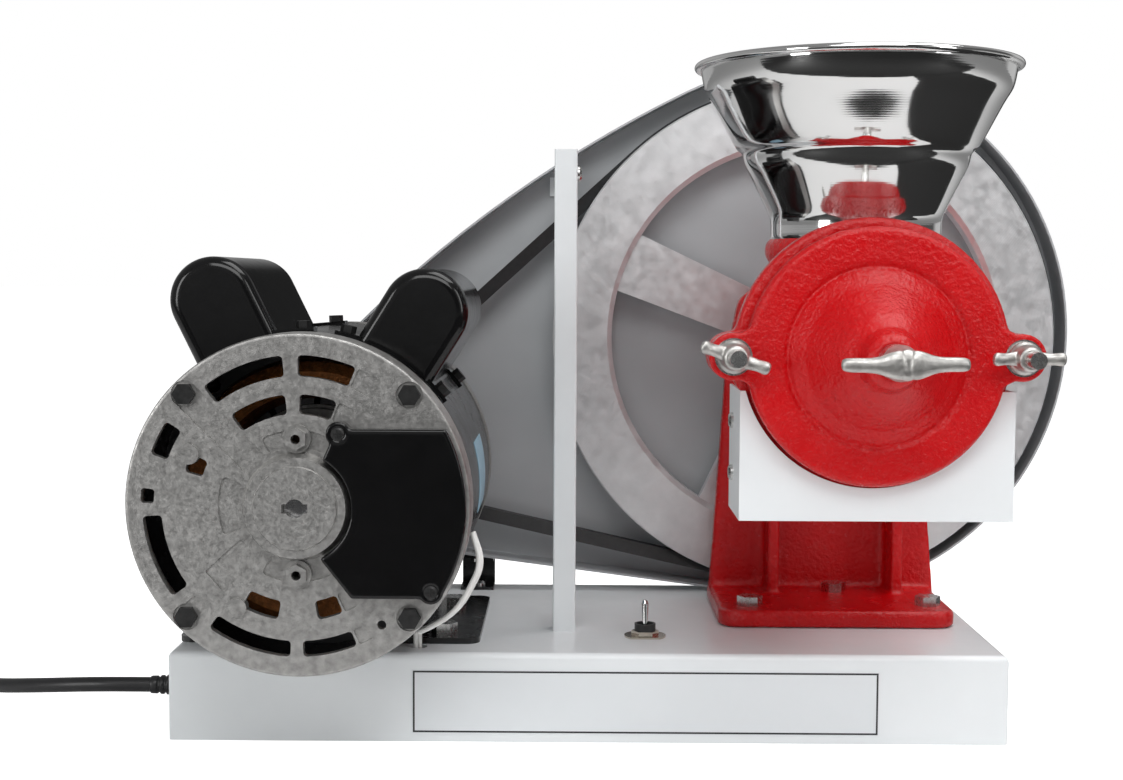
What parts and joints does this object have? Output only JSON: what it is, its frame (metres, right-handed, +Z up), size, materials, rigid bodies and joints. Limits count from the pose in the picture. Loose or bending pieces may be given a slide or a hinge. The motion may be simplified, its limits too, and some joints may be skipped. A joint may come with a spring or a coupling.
{
  "type": "electric grain mill",
  "caption": "Motor-driven red cast plate mill with a steel hopper and belt-driven spoked pulley on a white base.",
  "frame": {"origin": "centre of the base's footprint on the floor", "axes": "+X to the mill side, +Y to the belt pan at the back, +Z up"},
  "size_m": [0.8329, 0.4336, 0.3829],
  "materials": {
    "white_paint": "semi-gloss white powder coat",
    "grey_paint": "satin light grey paint",
    "red_paint": "glossy red paint over rough casting",
    "motor_black": "semi-gloss black enamel",
    "gloss_black": "glossy black",
    "label_film": "bare white film",
    "zinc_steel": "zinc plated",
    "dark_steel": "blackened",
    "black_bolt": "black oxide",
    "bearing_steel": "polished",
    "ground_steel": "ground",
    "lamination": "stacked laminations",
    "rotor_metal": "cast and turned",
    "copper_winding": "varnished copper wire",
    "cast_aluminium": "as cast, satin",
    "pulley_aluminium": "cast, turned faces",
    "governor_plastic": "phenolic",
    "black_plastic": "moulded",
    "switch_metal": "nickel plated",
    "switch_case": "moulded with plated bushing",
    "chrome": "polished",
    "white_insulation": "soft white insulation",
    "belt_rubber": "matt black",
    "cord_rubber": "satin black",
    "burr_iron": "cast and ground",
    "bronze": "machined bronze",
    "cast_zinc": "rough cast, tumbled",
    "stainless": "spun and polished stainless steel",
    "brass": "bright"
  },
  "bodies": {
    "stand": {"base_box": "white_paint", "base_bottom_plate": "zinc_steel", "bottom_plate_screws": "zinc_steel", "front_label": "label_film", "switch_plate": "switch_metal", "switch_nut": "switch_metal", "switch_body": "switch_case", "front_endbell": "cast_aluminium", "motor_shell": "motor_black", "rear_endbell": "cast_aluminium", "through_bolts": "black_bolt", "motor_bearings": "bearing_steel", "stator_core": "lamination", "stator_windings": "copper_winding", "start_switch": "governor_plastic", "terminal_cover": "gloss_black", "cover_screws": "black_bolt", "capacitor_cover_left": "gloss_black", "capacitor_cover_right": "gloss_black", "capacitors": "black_plastic", "motor_foot": "motor_black", "wiring": "white_insulation", "v_belt": "belt_rubber", "fixed_burr": "burr_iron", "mill_body": "red_paint", "shaft_bushes": "bronze", "mounting_bolts": "zinc_steel", "mill_lid": "red_paint", "lid_studs": "zinc_steel", "chute_shield": "white_paint", "shield_screws": "zinc_steel", "belt_pan": "grey_paint", "pan_bracket": "motor_black", "pan_post": "white_paint", "pan_stay": "white_paint", "pan_screws": "zinc_steel", "cord_relief": "cord_rubber", "power_cord": "cord_rubber", "power_cord_coil": "cord_rubber", "plug": "cord_rubber", "plug_blades": "brass"},
    "mill_rotor": {"driven_pulley": "pulley_aluminium", "driven_pulley_fixings": "dark_steel", "main_shaft": "ground_steel", "rotating_burr": "burr_iron"},
    "motor_rotor": {"motor_pulley": "cast_aluminium", "motor_pulley_screw": "dark_steel", "rotor_core": "rotor_metal", "motor_shaft": "ground_steel", "cooling_fan": "black_plastic", "centrifugal_governor": "governor_plastic"},
    "toggle": {"toggle_lever": "chrome"},
    "ball_carrier": {"thrust_ball": "bearing_steel"},
    "adjuster": {"adjusting_screw": "cast_zinc", "adjusting_collar": "zinc_steel"},
    "left_washer_slide": {"left_washer": "zinc_steel"},
    "left_nut": {"left_wing_nut": "cast_zinc"},
    "right_washer_slide": {"right_washer": "zinc_steel"},
    "right_nut": {"right_wing_nut": "cast_zinc"},
    "hopper": {"hopper": "stainless"}
  },
  "joints": [
    {"name": "mill_spin", "type": "hinge", "parent": "stand", "child": "mill_rotor", "pos_m": [0.1368, 0, 0.2115], "axis": [0, 1, 0], "continuous": true},
    {"name": "motor_spin", "type": "hinge", "parent": "stand", "child": "motor_rotor", "pos_m": [-0.142, 0, 0.1378], "axis": [0, 1, 0], "continuous": true},
    {"name": "toggle_flip", "type": "hinge", "parent": "stand", "child": "toggle", "pos_m": [0.0323, -0.057, 0.0495], "axis": [1, 0, 0], "range_deg": [0, 22]},
    {"name": "adjust_turn", "type": "hinge", "parent": "ball_carrier", "child": "adjuster", "pos_m": [0.1368, -0.21, 0.2115], "axis": [0, -1, 0], "range_deg": [0, 720]},
    {"name": "adjust_travel", "type": "slide", "parent": "stand", "child": "ball_carrier", "axis": [0, -1, 0], "range_m": [0, 0.0025]},
    {"name": "left_nut_travel", "type": "slide", "parent": "stand", "child": "left_washer_slide", "axis": [0, -1, 0], "range_m": [0, 0.0025]},
    {"name": "left_nut_turn", "type": "hinge", "parent": "left_washer_slide", "child": "left_nut", "pos_m": [0.0676, -0.1868, 0.2115], "axis": [0, -1, 0], "range_deg": [0, 720]},
    {"name": "right_nut_travel", "type": "slide", "parent": "stand", "child": "right_washer_slide", "axis": [0, -1, 0], "range_m": [0, 0.0025]},
    {"name": "right_nut_turn", "type": "hinge", "parent": "right_washer_slide", "child": "right_nut", "pos_m": [0.206, -0.1868, 0.2115], "axis": [0, -1, 0], "range_deg": [0, 720]},
    {"name": "hopper_lift", "type": "slide", "parent": "stand", "child": "hopper", "axis": [0, 0, 1], "range_m": [0, 0.05]}
  ],
  "couplings": [
    {"joint": "motor_spin", "follows": "mill_spin", "ratio": 6.688},
    {"joint": "adjust_turn", "follows": "adjust_travel", "rad_per_m": 5026.5},
    {"joint": "left_nut_turn", "follows": "left_nut_travel", "rad_per_m": 5026.5},
    {"joint": "right_nut_turn", "follows": "right_nut_travel", "rad_per_m": 5026.5}
  ]
}
